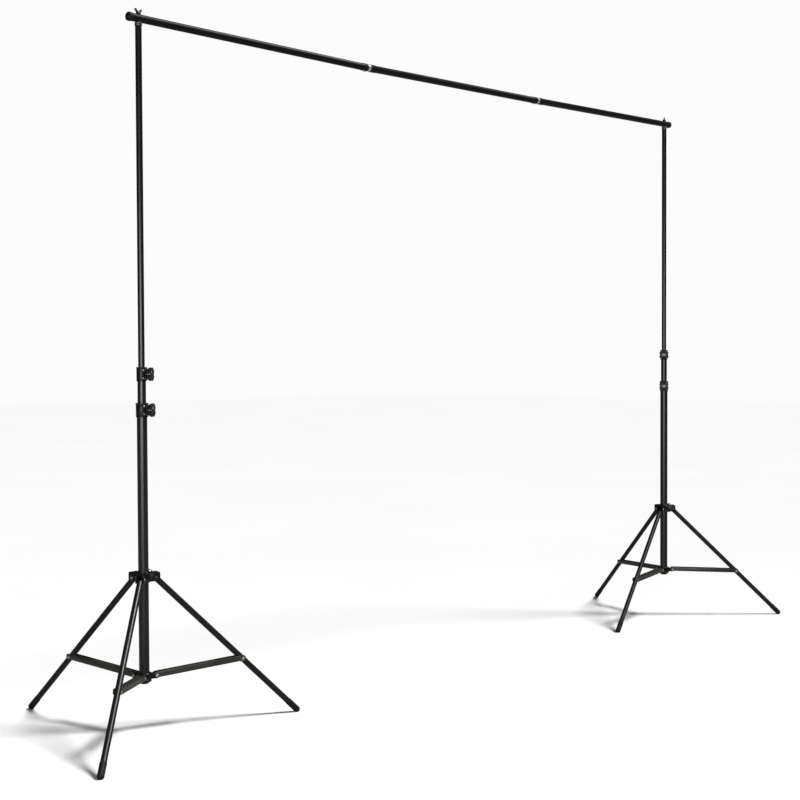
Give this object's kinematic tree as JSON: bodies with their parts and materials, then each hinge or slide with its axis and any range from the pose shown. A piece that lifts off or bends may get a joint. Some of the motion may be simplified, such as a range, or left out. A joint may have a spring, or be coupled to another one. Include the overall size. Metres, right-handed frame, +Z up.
{
  "type": "backdrop support stand",
  "caption": "Backdrop support: folding tripod masts with telescoping tubes and clamp knobs, joined by a plug-together crossbar that a background hangs from.",
  "frame": {"origin": "on the floor, under the middle of the footprint box of the six feet and the crossbar", "axes": "+X along the crossbar towards the right-hand mast, +Y level and across the crossbar, away from the side that the clamp knobs point to, +Z up"},
  "size_m": [3.5489, 0.8948, 2.2306],
  "materials": {
    "mast_tube": "satin black anodised-look powder coat",
    "bar_tube": "satin black powder coat",
    "leg_tube": "satin black powder coat",
    "brace_steel": "satin black painted pressed steel",
    "moulded_plastic": "fine moulded grain, black",
    "knob_plastic": "fine moulded grain, black",
    "foot_plastic": "soft black plastic",
    "bush_nylon": "natural nylon",
    "rivet_steel": "bright plated steel",
    "stud_steel": "zinc plated steel",
    "button_steel": "bright plated steel",
    "bright_ring": "bare satin aluminium",
    "black_zinc": "black zinc"
  },
  "bodies": {
    "left_column": {"left_lower_tube": "mast_tube", "left_lower_collar": "moulded_plastic", "left_lower_hub": "moulded_plastic", "left_column_rivets": "rivet_steel"},
    "left_middle_mast": {"left_middle_tube": "mast_tube", "left_upper_collar": "moulded_plastic", "left_middle_tube_bush": "bush_nylon", "left_upper_collar_rivets": "rivet_steel"},
    "left_top_mast": {"left_top_tube": "mast_tube", "left_top_tube_bush": "bush_nylon", "left_top_stud": "stud_steel"},
    "left_hub": {"left_upper_hub": "moulded_plastic", "left_leg_rivets": "rivet_steel"},
    "left_lower_knob": {"left_lower_collar_knob": "knob_plastic"},
    "left_upper_knob": {"left_upper_collar_knob": "knob_plastic"},
    "left_hub_lock": {"left_hub_knob": "knob_plastic"},
    "left_nut": {"left_wing_nut": "black_zinc"},
    "left_leg_1_set": {"left_leg_1": "leg_tube", "left_foot_1": "foot_plastic"},
    "left_brace_1_set": {"left_brace_1": "brace_steel"},
    "left_leg_2_set": {"left_leg_2": "leg_tube", "left_foot_2": "foot_plastic"},
    "left_brace_2_set": {"left_brace_2": "brace_steel"},
    "left_leg_3_set": {"left_leg_3": "leg_tube", "left_foot_3": "foot_plastic"},
    "left_brace_3_set": {"left_brace_3": "brace_steel"},
    "left_button": {"left_snap_button": "button_steel"},
    "right_column": {"right_lower_tube": "mast_tube", "right_lower_collar": "moulded_plastic", "right_lower_hub": "moulded_plastic", "right_column_rivets": "rivet_steel"},
    "right_middle_mast": {"right_middle_tube": "mast_tube", "right_upper_collar": "moulded_plastic", "right_middle_tube_bush": "bush_nylon", "right_upper_collar_rivets": "rivet_steel"},
    "right_top_mast": {"right_top_tube": "mast_tube", "right_top_tube_bush": "bush_nylon", "right_top_stud": "stud_steel"},
    "right_hub": {"right_upper_hub": "moulded_plastic", "right_leg_rivets": "rivet_steel"},
    "right_lower_knob": {"right_lower_collar_knob": "knob_plastic"},
    "right_upper_knob": {"right_upper_collar_knob": "knob_plastic"},
    "right_hub_lock": {"right_hub_knob": "knob_plastic"},
    "right_nut": {"right_wing_nut": "black_zinc"},
    "right_leg_1_set": {"right_leg_1": "leg_tube", "right_foot_1": "foot_plastic"},
    "right_brace_1_set": {"right_brace_1": "brace_steel"},
    "right_leg_2_set": {"right_leg_2": "leg_tube", "right_foot_2": "foot_plastic"},
    "right_brace_2_set": {"right_brace_2": "brace_steel"},
    "right_leg_3_set": {"right_leg_3": "leg_tube", "right_foot_3": "foot_plastic"},
    "right_brace_3_set": {"right_brace_3": "brace_steel"},
    "right_button": {"right_snap_button": "button_steel"},
    "crossbar": {"bar_left": "bar_tube", "bar_middle": "bar_tube", "bar_right": "bar_tube", "bar_end_caps": "foot_plastic", "left_bar_spigot": "bright_ring", "right_bar_spigot": "bright_ring"}
  },
  "joints": [
    {"name": "left_middle_slide", "type": "slide", "parent": "left_column", "child": "left_middle_mast", "axis": [0, 0, 1], "range_m": [-0.065, 0.5]},
    {"name": "left_top_slide", "type": "slide", "parent": "left_middle_mast", "child": "left_top_mast", "axis": [0, 0, 1], "range_m": [-0.75, 0.05]},
    {"name": "crossbar_swivel", "type": "hinge", "parent": "left_top_mast", "child": "crossbar", "pos_m": [-1.384, -0.064, 2.2], "axis": [0, 0, 1], "continuous": true},
    {"name": "right_stand_swivel", "type": "hinge", "parent": "crossbar", "child": "right_top_mast", "pos_m": [1.416, -0.064, 2.2], "axis": [0, 0, 1], "continuous": true},
    {"name": "right_top_slide", "type": "slide", "parent": "right_top_mast", "child": "right_middle_mast", "axis": [0, 0, -1], "range_m": [-0.75, 0.05]},
    {"name": "right_middle_slide", "type": "slide", "parent": "right_middle_mast", "child": "right_column", "axis": [0, 0, -1], "range_m": [-0.065, 0.5]},
    {"name": "left_hub_slide", "type": "slide", "parent": "left_column", "child": "left_hub", "axis": [0, 0, 1], "range_m": [0, 0.3793]},
    {"name": "left_leg_1_hinge", "type": "hinge", "parent": "left_hub", "child": "left_leg_1_set", "pos_m": [-1.39184, -0.02682, 0.47504], "axis": [-0.9785, -0.2062, 0], "range_deg": [0, 45.35]},
    {"name": "left_brace_1_hinge", "type": "hinge", "parent": "left_column", "child": "left_brace_1_set", "pos_m": [-1.39184, -0.02682, 0.169], "axis": [0.9785, 0.2062, 0], "range_deg": [0, 85.09]},
    {"name": "left_leg_2_hinge", "type": "hinge", "parent": "left_hub", "child": "left_leg_2_set", "pos_m": [-1.41228, -0.08938, 0.47504], "axis": [0.6678, -0.7443, 0], "range_deg": [0, 45.35]},
    {"name": "left_brace_2_hinge", "type": "hinge", "parent": "left_column", "child": "left_brace_2_set", "pos_m": [-1.41228, -0.08938, 0.169], "axis": [-0.6678, 0.7443, 0], "range_deg": [0, 85.09]},
    {"name": "left_leg_3_hinge", "type": "hinge", "parent": "left_hub", "child": "left_leg_3_set", "pos_m": [-1.34788, -0.07581, 0.47504], "axis": [0.3107, 0.9505, 0], "range_deg": [0, 45.35]},
    {"name": "left_brace_3_hinge", "type": "hinge", "parent": "left_column", "child": "left_brace_3_set", "pos_m": [-1.34788, -0.07581, 0.169], "axis": [-0.3107, -0.9505, 0], "range_deg": [0, 85.09]},
    {"name": "left_lower_knob_turn", "type": "hinge", "parent": "left_column", "child": "left_lower_knob", "pos_m": [-1.36553, -0.08764, 0.997], "axis": [0.6157, -0.788, 0], "range_deg": [0, 540]},
    {"name": "left_upper_knob_turn", "type": "hinge", "parent": "left_middle_mast", "child": "left_upper_knob", "pos_m": [-1.36553, -0.08764, 1.108], "axis": [0.6157, -0.788, 0], "range_deg": [0, 540]},
    {"name": "left_hub_lock_turn", "type": "hinge", "parent": "left_hub", "child": "left_hub_lock", "pos_m": [-1.36167, -0.04396, 0.47804], "axis": [0.7443, 0.6678, 0], "range_deg": [0, 540]},
    {"name": "left_wing_nut_turn", "type": "hinge", "parent": "left_top_mast", "child": "left_nut", "pos_m": [-1.384, -0.064, 2.218], "axis": [0, 0, 1], "range_deg": [0, 540]},
    {"name": "left_button_press", "type": "slide", "parent": "crossbar", "child": "left_button", "axis": [0, 0, 1], "range_m": [0, 0.0024], "stiffness_N_per_m": 600, "springref_m": -0.003},
    {"name": "right_hub_slide", "type": "slide", "parent": "right_column", "child": "right_hub", "axis": [0, 0, 1], "range_m": [0, 0.412]},
    {"name": "right_leg_1_hinge", "type": "hinge", "parent": "right_hub", "child": "right_leg_1_set", "pos_m": [1.42717, -0.02768, 0.47338], "axis": [-0.9558, 0.294, 0], "range_deg": [0, 45.55]},
    {"name": "right_brace_1_hinge", "type": "hinge", "parent": "right_column", "child": "right_brace_1_set", "pos_m": [1.42717, -0.02768, 0.2], "axis": [0.9558, -0.294, 0], "range_deg": [0, 91.45]},
    {"name": "right_leg_2_hinge", "type": "hinge", "parent": "right_hub", "child": "right_leg_2_set", "pos_m": [1.37896, -0.07248, 0.47338], "axis": [0.2233, -0.9748, 0], "range_deg": [0, 45.55]},
    {"name": "right_brace_2_hinge", "type": "hinge", "parent": "right_column", "child": "right_brace_2_set", "pos_m": [1.37896, -0.07248, 0.2], "axis": [-0.2233, 0.9748, 0], "range_deg": [0, 91.45]},
    {"name": "right_leg_3_hinge", "type": "hinge", "parent": "right_hub", "child": "right_leg_3_set", "pos_m": [1.44187, -0.09184, 0.47338], "axis": [0.7325, 0.6807, 0], "range_deg": [0, 45.55]},
    {"name": "right_brace_3_hinge", "type": "hinge", "parent": "right_column", "child": "right_brace_3_set", "pos_m": [1.44187, -0.09184, 0.2], "axis": [-0.7325, -0.6807, 0], "range_deg": [0, 91.45]},
    {"name": "right_lower_knob_turn", "type": "hinge", "parent": "right_column", "child": "right_lower_knob", "pos_m": [1.39128, -0.08099, 1.028], "axis": [-0.8241, -0.5664, 0], "range_deg": [0, 540]},
    {"name": "right_upper_knob_turn", "type": "hinge", "parent": "right_middle_mast", "child": "right_upper_knob", "pos_m": [1.39128, -0.08099, 1.168], "axis": [-0.8241, -0.5664, 0], "range_deg": [0, 540]},
    {"name": "right_hub_lock_turn", "type": "hinge", "parent": "right_hub", "child": "right_hub_lock", "pos_m": [1.44524, -0.0573, 0.47638], "axis": [0.9748, 0.2233, 0], "range_deg": [0, 540]},
    {"name": "right_wing_nut_turn", "type": "hinge", "parent": "right_top_mast", "child": "right_nut", "pos_m": [1.416, -0.064, 2.218], "axis": [0, 0, 1], "range_deg": [0, 540]},
    {"name": "right_button_press", "type": "slide", "parent": "crossbar", "child": "right_button", "axis": [0, 0, 1], "range_m": [0, 0.0024], "stiffness_N_per_m": 600, "springref_m": -0.003}
  ],
  "couplings": [
    {"joint": "right_top_slide", "follows": "left_top_slide", "ratio": 1},
    {"joint": "right_middle_slide", "follows": "left_middle_slide", "ratio": 1},
    {"joint": "left_leg_1_hinge", "follows": "left_hub_slide", "rad_per_m": 2.0842},
    {"joint": "left_brace_1_hinge", "follows": "left_hub_slide", "rad_per_m": 3.9123},
    {"joint": "left_leg_2_hinge", "follows": "left_hub_slide", "rad_per_m": 2.0842},
    {"joint": "left_brace_2_hinge", "follows": "left_hub_slide", "rad_per_m": 3.9123},
    {"joint": "left_leg_3_hinge", "follows": "left_hub_slide", "rad_per_m": 2.0842},
    {"joint": "left_brace_3_hinge", "follows": "left_hub_slide", "rad_per_m": 3.9123},
    {"joint": "right_leg_1_hinge", "follows": "right_hub_slide", "rad_per_m": 1.9275},
    {"joint": "right_brace_1_hinge", "follows": "right_hub_slide", "rad_per_m": 3.8717},
    {"joint": "right_leg_2_hinge", "follows": "right_hub_slide", "rad_per_m": 1.9275},
    {"joint": "right_brace_2_hinge", "follows": "right_hub_slide", "rad_per_m": 3.8717},
    {"joint": "right_leg_3_hinge", "follows": "right_hub_slide", "rad_per_m": 1.9275},
    {"joint": "right_brace_3_hinge", "follows": "right_hub_slide", "rad_per_m": 3.8717}
  ]
}
